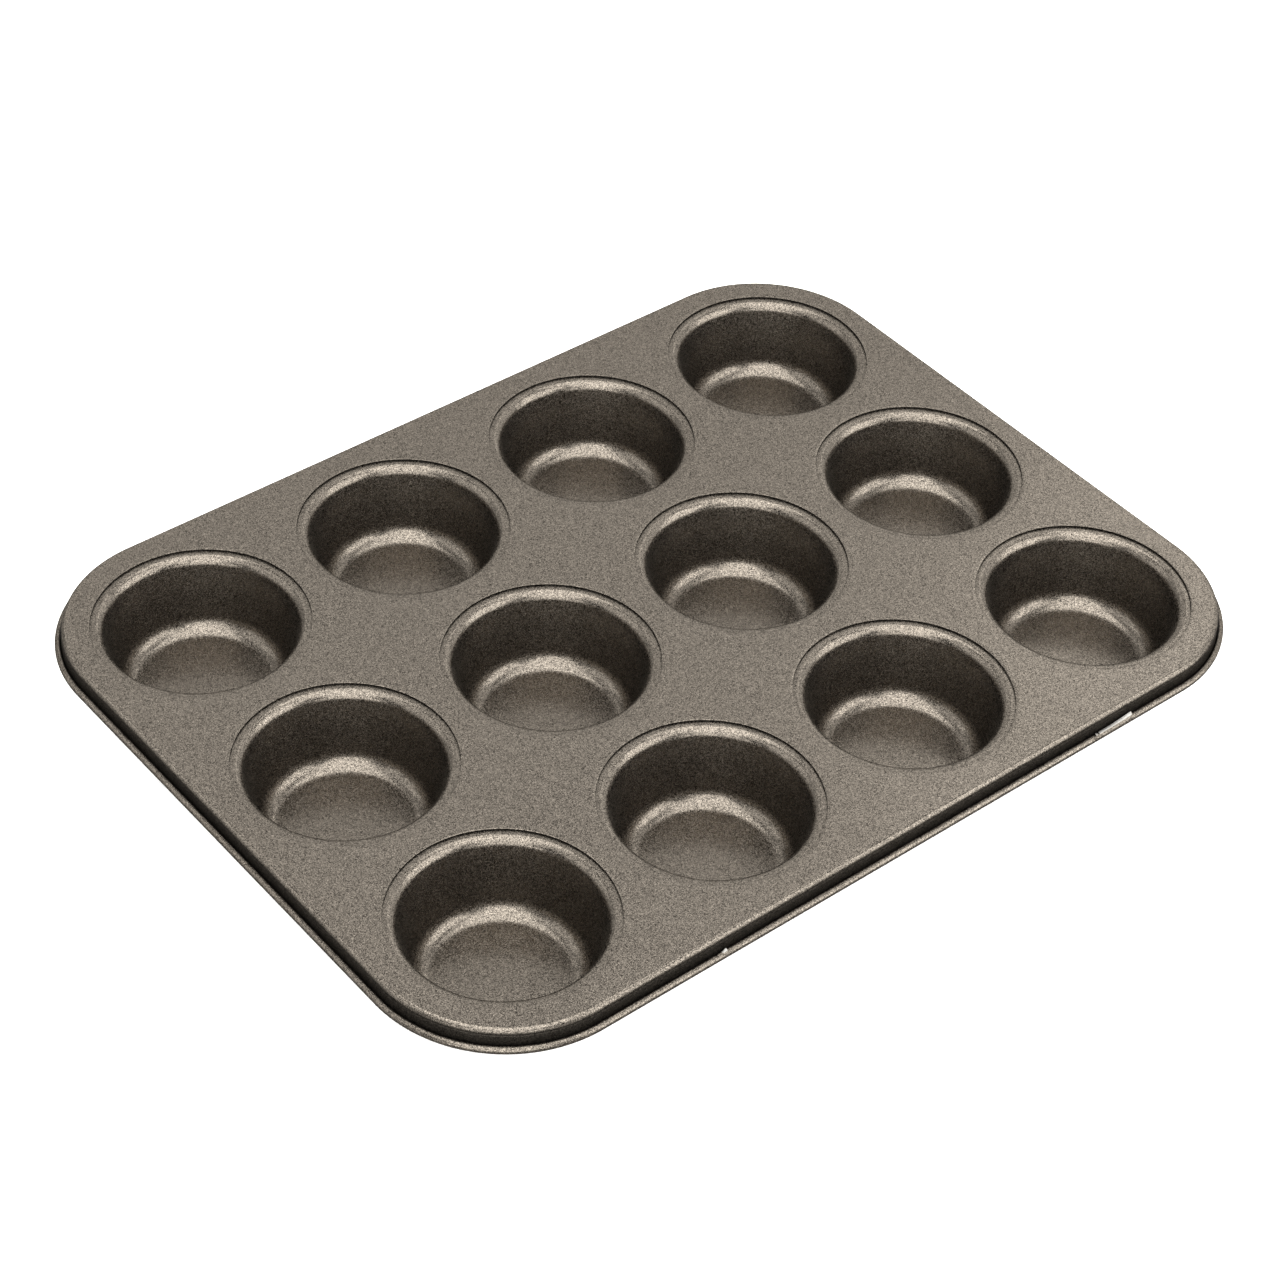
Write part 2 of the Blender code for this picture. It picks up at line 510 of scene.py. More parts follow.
SPECK_BARE = 0.6 * MM
SPECK_RUBBED = 0.5 * MM
RUB_DARKENING, RUB_DULLING = 0.18, 0.06
# Painted shade: where the crease attribute is painted, the coating is darker and a little rougher.
PAINTED_SHADE_DARKENING, PAINTED_SHADE_DULLING = 0.85, 0.2
RIPPLE_SHARE = 0.25  # of the ripples in the bump, the flakes being 1


def add_bump(tree, shader, height, strength, distance):
    bump = tree.nodes.new("ShaderNodeBump")
    bump.inputs["Strength"].default_value = strength
    bump.inputs["Distance"].default_value = distance
    height.feed(bump.inputs["Height"])
    tree.links.new(bump.outputs["Normal"], shader.inputs["Normal"])


def coated_steel(name, lightness):
    """Coating with flakes and ripples, rubbed on edges, darkened by painted shade in recesses,
    bare where cut.
    """
    finish = bpy.context.scene.tin_finish
    material = bpy.data.materials.new(name)
    material.use_nodes = True
    tree = material.node_tree
    shader = tree.nodes["Principled BSDF"]
    place = tree.nodes.new("ShaderNodeTexCoord").outputs["Object"]
    flakes = use_group(
        tree,
        shared_group("Metal flakes", build_flake_group),
        place,
        size=finish.flake_size,
        contrast=finish.flake_contrast,
    )
    coat = use_group(
        tree, shared_group("Sprayed coat", build_peel_group), place, size=finish.peel_size
    )
    wear_group = shared_group("Worn edge", build_wear_group)
    painted_shade = attribute_term(tree, "painted_shade")
    bare = use_group(
        tree, wear_group, place, amount=attribute_term(tree, "bare"), speck_size=SPECK_BARE
    )["Mask"]
    rubbed = use_group(
        tree, wear_group, place, amount=attribute_term(tree, "rubbed"), speck_size=SPECK_RUBBED
    )["Mask"]
    tone = flakes["Tone"] * coat["Tone"] * lightness
    # painted shade: darker where the crease attribute is painted; the rubbed edges are wear
    tone = tone * (1.0 - rubbed * RUB_DARKENING) * (1.0 - painted_shade * PAINTED_SHADE_DARKENING)
    painted = scale_colour(tree, tuple(finish.coating), tone)
    steel = scale_colour(tree, tuple(finish.steel), 0.9 + flakes["Gloss"])
    tree.links.new(mix_colour(tree, bare, painted, steel), shader.inputs["Base Color"])
    gloss = finish.coating_roughness + flakes["Gloss"]
    gloss = gloss + rubbed * RUB_DULLING + painted_shade * PAINTED_SHADE_DULLING
    choose(bare, finish.steel_roughness, gloss).feed(shader.inputs["Roughness"])
    shader.inputs["Metallic"].default_value = finish.coating_metal
    shader.inputs["Specular Tint"].default_value = (*[finish.edge_shine] * 3, 1.0)
    height = flakes["Height"] + coat["Height"] * RIPPLE_SHARE
    add_bump(tree, shader, height, strength=0.6, distance=0.02 * MM)
    material.diffuse_color = (*finish.coating, 1.0)
    return material


DRAWN_SHINE = 2.2  # drawn wire against torn sheet


def wire_steel():
    """Drawn steel wire, with fine marks along it and a little dullness."""
    finish = bpy.context.scene.tin_finish
    material = bpy.data.materials.new("Wire steel")
    material.use_nodes = True
    tree = material.node_tree
    shader = tree.nodes["Principled BSDF"]
    place = tree.nodes.new("ShaderNodeTexCoord").outputs["Object"]
    marks = use_group(
        tree,
        shared_group("Metal flakes", build_flake_group),
        place,
        size=0.25 * MM,
        contrast=0.3,
    )
    dull = use_group(
        tree, shared_group("Worn edge", build_wear_group), place, amount=0.42, speck_size=2.5 * MM
    )["Mask"]
    drawn = marks["Tone"] * DRAWN_SHINE * (1.0 - dull * 0.3)
    base = scale_colour(tree, tuple(finish.steel), drawn)
    tree.links.new(base, shader.inputs["Base Color"])
    (0.33 + marks["Gloss"] + dull * 0.2).feed(shader.inputs["Roughness"])
    shader.inputs["Metallic"].default_value = 1.0
    add_bump(tree, shader, marks["Height"], strength=0.3, distance=0.01 * MM)
    material.diffuse_color = (*finish.steel, 1.0)
    return material


# Cups


CUP_LENGTHS = (
    "Centre X",
    "Centre Y",
    "Flange Top",
    "Flange Radius",
    "Floor Radius",
    "Floor Fillet",
    "Draft",
    "Lip Width",
    "Lip Drop",
    "Sheet",
    "Hold",
)
CUP_COUNTS = ("Segments", "Floor Steps", "Lip Steps")


def build_cup_tree():
    """A drawn cup: a sheet section bent from the inputs, turned round the cup's axis.

    A grid one wide and one long is bent into it: across is the way along the section,
    inside face first and underside back, and the other way is the turn round the axis.
    """
    tree, entry, leave, size = geometry_tree("Drawn cup", CUP_LENGTHS, CUP_COUNTS)
    floor_steps = size["Floor Steps"]
    lip_steps = size["Lip Steps"]
    face_points = floor_steps + lip_steps + 6.0
    grid = tree.nodes.new("GeometryNodeMeshGrid")
    (face_points * 2.0).feed(grid.inputs["Vertices X"])
    (size["Segments"] + 1.0).feed(grid.inputs["Vertices Y"])
    position = tree.nodes.new("GeometryNodeInputPosition")
    parts = tree.nodes.new("ShaderNodeSeparateXYZ")
    tree.links.new(position.outputs[0], parts.inputs[0])
    along = ((Term(tree, parts.outputs["X"]) + 0.5) * (face_points * 2.0 - 1.0)).whole()
    turn = (Term(tree, parts.outputs["Y"]) + 0.5) * (2.0 * pi)

    under = along > (face_points - 0.5)
    index = along.least(face_points * 2.0 - 1.0 - along)
    slope = 0.5 * pi - size["Draft"]
    up_fillet = ((index - 2.0) / floor_steps).clamp()
    over_lip = (1.0 - (index - 3.0 - floor_steps) / lip_steps).clamp()
    rise = slope * up_fillet.least(over_lip)

    width, drop = size["Lip Width"], size["Lip Drop"]

    def lip_offset(angle_term):
        """Inwards and upwards from the middle of the lip's ellipse."""
        across = width * angle_term.sin()
        upright = drop * angle_term.cos()
        scale = (across * across + upright * upright).root()
        return width * across / scale, drop * upright / scale

    fillet = size["Floor Fillet"]
    floor_radius = size["Floor Radius"]
    foot_radius = floor_radius + fillet * slope.sin()
    foot_height = size["Sheet"] + fillet * (1.0 - slope.cos())
    lip_level = size["Flange Top"] - drop
    lip_in, lip_up = lip_offset(slope)
    wall_lean = size["Draft"].tan()
    wall_top_radius = foot_radius + (lip_level + lip_up - foot_height) * wall_lean
    lip_middle = wall_top_radius + lip_in

    off_axis = index > 0.5
    beside_fillet = index.math("COMPARE", 1.0, 0.5)
    flat_floor = (floor_radius - size["Hold"] * beside_fillet) * off_axis
    floor_reach = flat_floor + fillet * rise.sin()
    floor_height = size["Sheet"] + fillet * (1.0 - rise.cos())
    rise_in, rise_up = lip_offset(rise)
    last = face_points - 1.0
    flat_reach = choose(index > (last - 0.5), size["Flange Radius"], lip_middle + size["Hold"])
    lip_reach = choose(index > (last - 1.5), flat_reach, lip_middle - rise_in)
    on_lip = index > (floor_steps + 2.5)
    reach = choose(on_lip, lip_reach, floor_reach) + under * size["Sheet"] * rise.sin()
    height = choose(on_lip, lip_level + rise_up, floor_height) - under * size["Sheet"] * rise.cos()

    placed = place_points(
        tree,
        grid.outputs["Mesh"],
        size["Centre X"] + reach * turn.cos(),
        size["Centre Y"] + reach * turn.sin(),
        height,
    )
    end_tree(tree, placed, entry, leave)
    return tree


FLOOR_STEPS, LIP_STEPS = 14, 16  # facets in a cup's bends
FLAT_HOLD = 0.3 * MM  # a narrow flat band beside each bend keeps its shading crisp
FLANGE_BAND = 0.7 * MM  # how far below its top the flange counts as flange
SHADE_INSIDE, SHADE_FADE = 0.4 * MM, 0.5 * MM  # where the painted shade starts inside the hole


def make_cup(name, tree, material):
    scene = bpy.context.scene
    settings = scene.tin_cup
    centre = CUP_CENTRES[name]
    values = {
        "Centre X": centre.x,
        "Centre Y": centre.y,
        "Flange Top": CUP_HIGH.z,
        "Flange Radius": (CUP_HIGH.x - CUP_LOW.x) / 2,
        "Floor Radius": settings.floor_radius,
        "Floor Fillet": settings.floor_fillet,
        "Draft": settings.draft,
        "Lip Width": settings.lip_width,
        "Lip Drop": settings.lip_drop,
        "Sheet": scene.tin_deck.sheet,
        "Hold": FLAT_HOLD,
        "Segments": settings.segments,
        "Floor Steps": FLOOR_STEPS,
        "Lip Steps": LIP_STEPS,
        "Finish": material,
    }
    mesh = mesh_from_tree(f"drawn_{name}", tree, values)
    settle(mesh)
    hole_radius = scene.tin_deck.hole_radius

    def flange_painted_shade(point):
        """Painted shade where the flange goes under the deck's hole edge."""
        reach = (point.to_2d() - centre).length
        on_flange = point.z > CUP_HIGH.z - FLANGE_BAND
        return smooth_step((reach - hole_radius + SHADE_INSIDE) / SHADE_FADE) * on_flange

    # painted shade on the flange beside the deck's hole edge, stored in the crease attribute
    paint(mesh, "painted_shade", flange_painted_shade)
    return add_piece(f"drawn_{name}", mesh, material, name)


# Deck


Nick = namedtuple("Nick", "start end low high lateness")

NICKS = (
    # where each starts and ends along X, its height there, and how late it rises
    Nick(84.3 * MM, 85.4 * MM, 0.65 * MM, 0.25 * MM, 1.0),
    Nick(86.0 * MM, 101.4 * MM, 0.30 * MM, 1.15 * MM, 2.4),
    Nick(-79.6 * MM, -76.3 * MM, 0.00 * MM, 0.70 * MM, 2.5),
)
NICK_STEP, NICK_FEWEST = 0.5 * MM, 4
NICK_END = 0.05 * MM  # from a nick's end back to the untorn edge
BARE_HEIGHT = 0.25 * MM  # torn this far up, the steel is bare
TORN_FROM = radians(105.0)  # how far round the bead the sheet comes loose
TORN_CURL = 1.5
BARE_FROM, BARE_FADE = 0.45, 0.25  # in the loose part of the sheet, 1 being its cut edge


def nick_height(x, y):
    """How far the cut edge of the rolled rim is torn up, on the long side at -Y."""
    if y > -DECK_HIGH.y / 2:
        return 0.0
    for nick in NICKS:
        if nick.start <= x <= nick.end:
            share = (x - nick.start) / (nick.end - nick.start)
            return nick.low + (nick.high - nick.low) * share**nick.lateness
    return 0.0


SKIRT_LINE = (
    # share of the way down the skirt, depth of the drawing line pressed into it
    (0.02, 0.00),
    (0.05, 0.10 * MM),
    (0.09, 0.13 * MM),
    (0.13, 0.10 * MM),
    (0.17, 0.00),
    (0.22, 0.00),
    (0.50, 0.00),
    (0.80, 0.00),
)


FILLET_STEPS, ROLL_STEPS = 12, 30
TOP_BAND = 0.5 * MM  # flat band beside the bend


def skirt_section(settings):
    """The top of the deck from its flat to its rolled edge, then the underside back."""
    outer = DECK_HIGH.y - corner_centre(settings)[1]
    bead_reach = outer - settings.bead_radius
    bead_height = middle(WIRE_LOW, WIRE_HIGH).z
    roll = settings.bead_radius - settings.sheet
    fillet = settings.skirt_fillet
    fillet_height = DECK_HIGH.z - fillet
    across = bead_reach - settings.flat_reach
    down = fillet_height - bead_height
    slope = atan2(down, across) + asin((fillet + roll) / hypot(across, down))
    face = [(settings.flat_reach - TOP_BAND, DECK_HIGH.z, 0.0)]
    fillet_rises = steps(0.0, -slope, FILLET_STEPS)
    face += arc((settings.flat_reach, fillet_height), -fillet, fillet_rises)
    top, foot = face[-1], (bead_reach - roll * sin(slope), bead_height - roll * cos(slope))
    for share, groove in SKIRT_LINE:
        level = top[1] + (foot[1] - top[1]) * share
        face.append((top[0] + (foot[0] - top[0]) * share - groove, level, -slope))
    roll_rises = steps(-slope, settings.bead_wrap - slope, ROLL_STEPS)
    face += arc((bead_reach, bead_height), roll, roll_rises)
    return face


def corner_centre(settings):
    """The middle of the rounded corner at +X+Y."""
    outer_x = max(centre.x for centre in CUP_CENTRES.values())
    outer_y = max(centre.y for centre in CUP_CENTRES.values())
    return outer_x - settings.corner_inset, outer_y + settings.corner_outset


SIDE_STEPS, SIDE_SHARE = 40, 0.9  # along the straight part of a long side


def side_points(x_middle):
    """Places along the long side at -Y where the rim needs points to be torn up."""
    places = {0.0}
    for nick in NICKS:
        number = max(NICK_FEWEST, int((nick.end - nick.start) / NICK_STEP))
        places.update(steps(nick.start, nick.end, number))
        places.update((nick.start - NICK_END, nick.end + NICK_END))
    places.update(steps(-x_middle * SIDE_SHARE, x_middle * SIDE_SHARE, SIDE_STEPS))
    return sorted(places)


def corner_path(settings, reach):
    """Points round the deck at a reach from its corner centres."""
    x_middle, y_middle = corner_centre(settings)
    path = []
    quarters = ((1, 1, 0.0), (-1, 1, 0.5 * pi), (-1, -1, pi), (1, -1, 1.5 * pi))
    for side_x, side_y, start in quarters:
        for turn in steps(start, start + 0.5 * pi, settings.corner_steps):
            x = side_x * x_middle + reach * cos(turn)
            y = side_y * y_middle + reach * sin(turn)
            path.append((x, y))
        if (side_x, side_y) == (-1, -1):
            path += [(x, -y_middle - reach) for x in side_points(x_middle)]
    return path


def add_loop(bm, points):
    verts = [bm.verts.new(point) for point in points]
    return verts, [bm.edges.new(pair) for pair in zip(verts, verts[1:] + verts[:1])]


def bridge(bm, loop, other):
    for i in range(len(loop)):
        j = (i + 1) % len(loop)
        bm.faces.new((loop[i], loop[j], other[j], other[i]))


HOLE_SAG_RADIUS = 9.0 * MM
HOLE_SAG_WIDTH = 1.1 * MM
HOLE_MARGIN = 0.4 * MM  # flat ring round each hole, on top and underneath
HOLE_SEGMENTS = 144
SAG_STEPS, ROUND_STEPS = 6, 4


def hole_edge(settings):
    """The edge of a hole as (distance out from the hole, height above the deck).

    The top leans down a little towards the hole, then turns over a tight rounding.
    """
    rounding, sheet, sag = settings.hole_round, settings.sheet, HOLE_SAG_RADIUS
    lean = asin(HOLE_SAG_WIDTH / sag)
    hold = HOLE_SAG_WIDTH + rounding + HOLE_MARGIN
    section = [(hold, 0.0)]
    section += [
        (HOLE_SAG_WIDTH + rounding - sag * sin(turn), sag * (cos(turn) - 1.0))
        for turn in steps(0.0, lean, SAG_STEPS)
    ]
    start_out, start_height = section[-1]
    for turn in steps(lean, 0.5 * pi, ROUND_STEPS)[1:]:
        across = rounding * (sin(turn) - sin(lean))
        down = rounding * (cos(lean) - cos(turn))
        section.append((start_out - across, start_height - down))
    edge = section[-1][0]
    section = [(out - edge, height) for out, height in section]
    return section + [(0.0, -sheet), (HOLE_MARGIN, -sheet)]


def sweep_skirt(bm, settings):
    """The skirt and the rolled rim, and the two edge loops where the flat top joins them."""
    face = skirt_section(settings)
    last_rise = face[-1][2]
    bare = bm.verts.layers.float.new("bare")
    loops = []
    for section, offset in ((face, 0.0), (face[::-1], settings.sheet)):
        for reach, height, rise in section:
            points = []
            loose = max(0.0, (rise - TORN_FROM) / (last_rise - TORN_FROM))
            for x, y in corner_path(settings, reach + offset * sin(rise)):
                torn = nick_height(x, y) * loose**TORN_CURL
                points.append((x, y, height - offset * cos(rise) + torn))
            loop = add_loop(bm, points)
            for vert in loop[0]:
                torn = smooth_step(nick_height(vert.co.x, vert.co.y) / BARE_HEIGHT)
                vert[bare] = smooth_step((loose - BARE_FROM) / BARE_FADE) * torn
            loops.append(loop)
    for (loop, _), (other, _) in zip(loops, loops[1:]):
        bridge(bm, loop, other)
    return loops[0][1], loops[-1][1]


def cut_hole(bm, settings, centre):
    """The rounded edge of one hole, and the two edge loops where the flat top joins it."""
    turns = steps(0.0, 2.0 * pi, HOLE_SEGMENTS)[:-1]
    rings = []
    for out, height in hole_edge(settings):
        radius = settings.hole_radius + out
        level = DECK_HIGH.z + height
        ring = [(centre.x + radius * cos(t), centre.y + radius * sin(t), level) for t in turns]
        rings.append(add_loop(bm, ring))
    for (loop, _), (other, _) in zip(rings, rings[1:]):
        bridge(bm, loop, other)
    return rings[0][1], rings[-1][1]


def deck_mesh(settings):
    bm = bmesh.new()
    top_edges, under_edges = sweep_skirt(bm, settings)
    for centre in CUP_CENTRES.values():
        hole_top, hole_under = cut_hole(bm, settings, centre)
        top_edges += hole_top
        under_edges += hole_under
    for edges in (top_edges, under_edges):
        bmesh.ops.triangle_fill(bm, edges=edges, use_beauty=True)
    mesh = bpy.data.meshes.new("pressed_deck")
    bm.to_mesh(mesh)
    bm.free()
    settle(mesh)
    return mesh


FLAT_MARGIN = 1.0 * MM  # inside the bend, all that lies low is the edge of a hole
# Painted shade in the deck: in the holes' cut edges, on the skirt under its bend, and deeper in
# the channel before the rolled rim.
HOLE_PAINTED_SHADE, HOLE_PAINTED_SHADE_DEPTH = 0.8, 0.1 * MM
UNDER_BEND, UNDER_BEND_DEPTH, UNDER_BEND_FADE = 0.82, 1.25 * MM, 0.45 * MM
CHANNEL, CHANNEL_DEPTH, CHANNEL_FADE = 0.18, 3.0 * MM, 2.5 * MM
SHADE_BEAD_END, BEAD_FADE = 0.1 * MM, 0.5 * MM  # the painted shade ends at the middle of the bead
BEAD_WEAR, BEAD_WEAR_DEPTH, BEAD_WEAR_FADE, BEAD_WEAR_INSIDE = 0.6, 0.9 * MM, 0.8 * MM, 0.2 * MM
BEND_WEAR, BEND_WEAR_DEPTH, BEND_WEAR_FADE = 0.5, 1.4 * MM, 1.2 * MM
WEAR_PATCHES = 40.0  # per metre


def make_deck(material):
    """The flat top with its holes, then the skirt and the rolled rim swept round it."""
    settings = bpy.context.scene.tin_deck
    mesh = deck_mesh(settings)
    x_middle, y_middle = corner_centre(settings)
    bead_top = middle(WIRE_LOW, WIRE_HIGH).z + settings.bead_radius
    bead_reach = DECK_HIGH.y - y_middle - settings.bead_radius

    def reach_of(point):
        """How far a point lies from the straight line or corner centre behind it."""
        return hypot(max(abs(point.x) - x_middle, 0.0), max(abs(point.y) - y_middle, 0.0))

    def painted_shade_at(point):
        """Painted shade: in the holes' edges, on the skirt under its bend, and in the channel
        between the skirt and the rolled rim.
        """
        reach = reach_of(point)
        depth = DECK_HIGH.z - point.z
        if reach < settings.flat_reach - FLAT_MARGIN:
            return HOLE_PAINTED_SHADE if depth > HOLE_PAINTED_SHADE_DEPTH else 0.0
        under_bend = UNDER_BEND * smooth_step((depth - UNDER_BEND_DEPTH) / UNDER_BEND_FADE)
        deep = CHANNEL * smooth_step((depth - CHANNEL_DEPTH) / CHANNEL_FADE)
        inside = smooth_step((bead_reach + SHADE_BEAD_END - reach) / BEAD_FADE)
        return (under_bend + deep) * inside

    def edge_wear(point):
        """Strongest on top of the rolled rim and on the bend of the skirt."""
        reach = reach_of(point)
        on_bead = smooth_step((point.z - bead_top + BEAD_WEAR_DEPTH) / BEAD_WEAR_FADE)
        on_bead *= reach > bead_reach - BEAD_WEAR_INSIDE
        on_bend = smooth_step((reach - settings.flat_reach) / BEND_WEAR_FADE)
        on_bend *= point.z > DECK_HIGH.z - BEND_WEAR_DEPTH
        patchy = 0.5 + 0.5 * noise.noise(point * WEAR_PATCHES)
        return (BEAD_WEAR * on_bead + BEND_WEAR * on_bend) * (0.7 + 0.6 * patchy)

    # painted shade, stored in the crease attribute
    paint(mesh, "painted_shade", painted_shade_at)
    paint(mesh, "rubbed", edge_wear)
    return add_piece("pressed_deck", mesh, material, "deck")


# Rim wire


WIRE_LENGTHS = ("Corner X", "Corner Y", "Reach", "Height", "Radius", "Joint", "Joint Gap")
WIRE_COUNTS = ("Corner Steps", "Sides")


def build_wire_tree():
    """A round wire laid along the rim from one side of its joint to the other."""
    tree, entry, leave, size = geometry_tree("Rim wire", WIRE_LENGTHS, WIRE_COUNTS)
    corner_points = size["Corner Steps"] + 1.0
    last = corner_points * 4.0 + 1.0
    line = tree.nodes.new("GeometryNodeMeshLine")
    (last + 1.0).feed(line.inputs["Count"])
    index = Term(tree, tree.nodes.new("GeometryNodeInputIndex").outputs[0])
    step = (index - 1.0).most(0.0).least(last - 2.0)
    corner = ((step + 0.01) / corner_points).floor()
    turn = (corner - 1.0 + (step - corner * corner_points) / size["Corner Steps"]) * (0.5 * pi)
    facing = (corner - 0.5) * (0.5 * pi)
    x = facing.cos().math("SIGN") * size["Corner X"] + size["Reach"] * turn.cos()
    y = facing.sin().math("SIGN") * size["Corner Y"] + size["Reach"] * turn.sin()
    x = choose(index > (last - 0.5), size["Joint"] - size["Joint Gap"] * 0.5, x)
    x = choose(index > 0.5, x, size["Joint"] + size["Joint Gap"] * 0.5)
    placed = place_points(tree, line.outputs["Mesh"], x, y, size["Height"])
    path = tree.nodes.new("GeometryNodeMeshToCurve")
    tree.links.new(placed, path.inputs["Mesh"])
    ring = tree.nodes.new("GeometryNodeCurvePrimitiveCircle")
    size["Sides"].feed(ring.inputs["Resolution"])
    size["Radius"].feed(ring.inputs["Radius"])
    sweep = tree.nodes.new("GeometryNodeCurveToMesh")
    sweep.inputs["Fill Caps"].default_value = True
    tree.links.new(path.outputs["Curve"], sweep.inputs["Curve"])
    tree.links.new(ring.outputs["Curve"], sweep.inputs["Profile Curve"])
    end_tree(tree, sweep.outputs["Mesh"], entry, leave)
    return tree


def make_wire(tree, material):
    scene = bpy.context.scene
    x_middle, y_middle = corner_centre(scene.tin_deck)
    radius = (WIRE_HIGH.z - WIRE_LOW.z) / 2
    values = {
        "Corner X": x_middle,
        "Corner Y": y_middle,
        "Reach": WIRE_HIGH.y - y_middle - radius,
        "Height": middle(WIRE_LOW, WIRE_HIGH).z,
        "Radius": radius,
        "Joint": scene.tin_wire.joint,
        "Joint Gap": scene.tin_wire.joint_gap,
        "Corner Steps": scene.tin_deck.corner_steps,
        "Sides": scene.tin_wire.sides,
        "Finish": material,
    }
    mesh = mesh_from_tree("round_rim_wire", tree, values)
    settle(mesh)
    return add_piece("round_rim_wire", mesh, material, "rim_wire")


# Studio


CAMERA_AIM = Vector((0.00863, 0.01305, 0.0))
CAMERA_DISTANCE = 1.13556
CAMERA_BEARING = radians(-131.218)  # of the way from the aim to the camera, from +X
CAMERA_ELEVATION = radians(42.157)
CAMERA_ROLL = radians(3.317)
CAMERA_LENS = 90.94
UPWARDS = Vector((0.0, 0.0, 1.0))
AWAY = -Vector((cos(CAMERA_BEARING), sin(CAMERA_BEARING), 0.0))  # level, to behind the tin
ASIDE = AWAY.cross(UPWARDS)  # level, to the camera's right
PANEL_DISTANCE = 2.0
PANEL_POWER = 4.0  # of each square metre of a panel, for a brightness of 1
LIGHT_TINT = (1.0, 0.985, 0.955)
AMBIENT_TINT = (1.0, 0.985, 0.96)
FLOOR_SIZE = 12.0
FLOOR_DROP = 0.05 * MM  # keeps it clear of the cups that stand on it
FLOOR_NEAR, FLOOR_FAR = 0.20, 0.60  # where the painted shade on the floor, seen in metal, starts to fade, and is gone
FLOOR_FAR_GLOSS = 0.8
FLOOR_GRAIN, FLOOR_PATCHY = 6.0 * MM, 0.1
LIFT_NEAR, LIFT_FAR = 0.60, 2.50  # where the floor's painted glow starts to grow, and is full


def add_camera():
    data = bpy.data.cameras.new("Camera")
    data.lens = CAMERA_LENS
    data.sensor_width = 36.0
    data.clip_start = 0.01
    camera = bpy.data.objects.new("Camera", data)
    bpy.context.scene.collection.objects.link(camera)
    back = UPWARDS * sin(CAMERA_ELEVATION) - AWAY * cos(CAMERA_ELEVATION)
    turn = Matrix((ASIDE, back.cross(ASIDE), back)).transposed()
    turn = turn @ Matrix.Rotation(CAMERA_ROLL, 3, "Z")
    place = CAMERA_AIM + back * CAMERA_DISTANCE
    camera.matrix_world = Matrix.Translation(place) @ turn.to_4x4()
    bpy.context.scene.camera = camera


def add_panel_light(name, bearing, elevation, half_width, half_height, brightness):
    """A soft panel that faces the tin.

    bearing is how far round it stands from behind the tin, clockwise from above. The half
    width and half height are the angles that it fills as the tin sees it.
    """
    level = AWAY * cos(bearing) + ASIDE * sin(bearing)
    way = level * cos(elevation) + UPWARDS * sin(elevation)
    data = bpy.data.lights.new(name, "AREA")
    data.shape = "RECTANGLE"
    data.size = 2.0 * PANEL_DISTANCE * tan(half_width)
    data.size_y = 2.0 * PANEL_DISTANCE * tan(half_height)
    data.energy = PANEL_POWER * data.size * data.size_y * brightness
    data.color = LIGHT_TINT
    light = bpy.data.objects.new(name, data)
    bpy.context.scene.collection.objects.link(light)
    light.visible_camera = False
    light.location = way * PANEL_DISTANCE
    side = level.cross(UPWARDS)
    turn = Matrix((side, way.cross(side), way)).transposed()
    light.rotation_euler = turn.to_euler()


def pale_floor(settings):
    """Matt and pale; in metal it shows a painted shade near the tin, to the camera a painted glow
    lifts its shadows, and it is clear when seen from below.
    """
    material = bpy.data.materials.new("Pale floor")
    material.use_nodes = True
    tree = material.node_tree
    shader = tree.nodes["Principled BSDF"]
    place = tree.nodes.new("ShaderNodeTexCoord").outputs["Object"]
    coat = use_group(tree, shared_group("Sprayed coat", build_peel_group), place, size=FLOOR_GRAIN)
    rays = tree.nodes.new("ShaderNodeLightPath")
    mirrored = Term(tree, rays.outputs["Is Glossy Ray"])
    distance = tree.nodes.new("ShaderNodeVectorMath")
    distance.operation = "LENGTH"
    tree.links.new(place, distance.inputs[0])
    far = Term(tree, distance.outputs["Value"]).ramp(FLOOR_NEAR, FLOOR_FAR)
    # painted shade: near the tin the floor is darker, but only as seen in metal
    reflected_with_painted_shade = settings.floor_gloss + far * (FLOOR_FAR_GLOSS - settings.floor_gloss)
    patchy = 1.0 + (coat["Tone"] - 1.0) * FLOOR_PATCHY
    tone = patchy * choose(mirrored, reflected_with_painted_shade, 1.0)
    tree.links.new(scale_colour(tree, tuple(settings.floor), tone), shader.inputs["Base Color"])
    shader.inputs["Roughness"].default_value = 0.7
    # painted light: the floor glows for the camera, most far from the tin, lifting its shadows
    farther = Term(tree, distance.outputs["Value"]).ramp(LIFT_NEAR, LIFT_FAR)
    painted_glow = settings.floor_lift + farther * (1.0 - settings.floor_lift)
    seen = Term(tree, rays.outputs["Is Camera Ray"])
    tree.links.new(
        scale_colour(tree, tuple(settings.floor), seen * painted_glow), shader.inputs["Emission Color"]
    )
    shader.inputs["Emission Strength"].default_value = 1.0
    geometry = tree.nodes.new("ShaderNodeNewGeometry")
    (1.0 - Term(tree, geometry.outputs["Backfacing"])).feed(shader.inputs["Alpha"])
    return material


def add_floor(settings):
    """A floor that is broad enough for every view."""
    mesh = bpy.data.meshes.new("floor")
    bm = bmesh.new()
    level = Matrix.Translation((0.0, 0.0, -FLOOR_DROP))
    bmesh.ops.create_grid(bm, x_segments=8, y_segments=8, size=FLOOR_SIZE / 2, matrix=level)
    bm.to_mesh(mesh)
    bm.free()
    mesh.materials.append(pale_floor(settings))
    floor = bpy.data.objects.new("floor", mesh)
    bpy.context.scene.collection.objects.link(floor)


def add_surroundings(settings):
    world = bpy.data.worlds.new("Studio")
    world.use_nodes = True
    background = world.node_tree.nodes["Background"]
    background.inputs["Color"].default_value = (*AMBIENT_TINT, 1.0)
    background.inputs["Strength"].default_value = settings.ambient
    bpy.context.scene.world = world
    bpy.context.scene.view_settings.view_transform = "Standard"


# Operators, one for each kind of piece


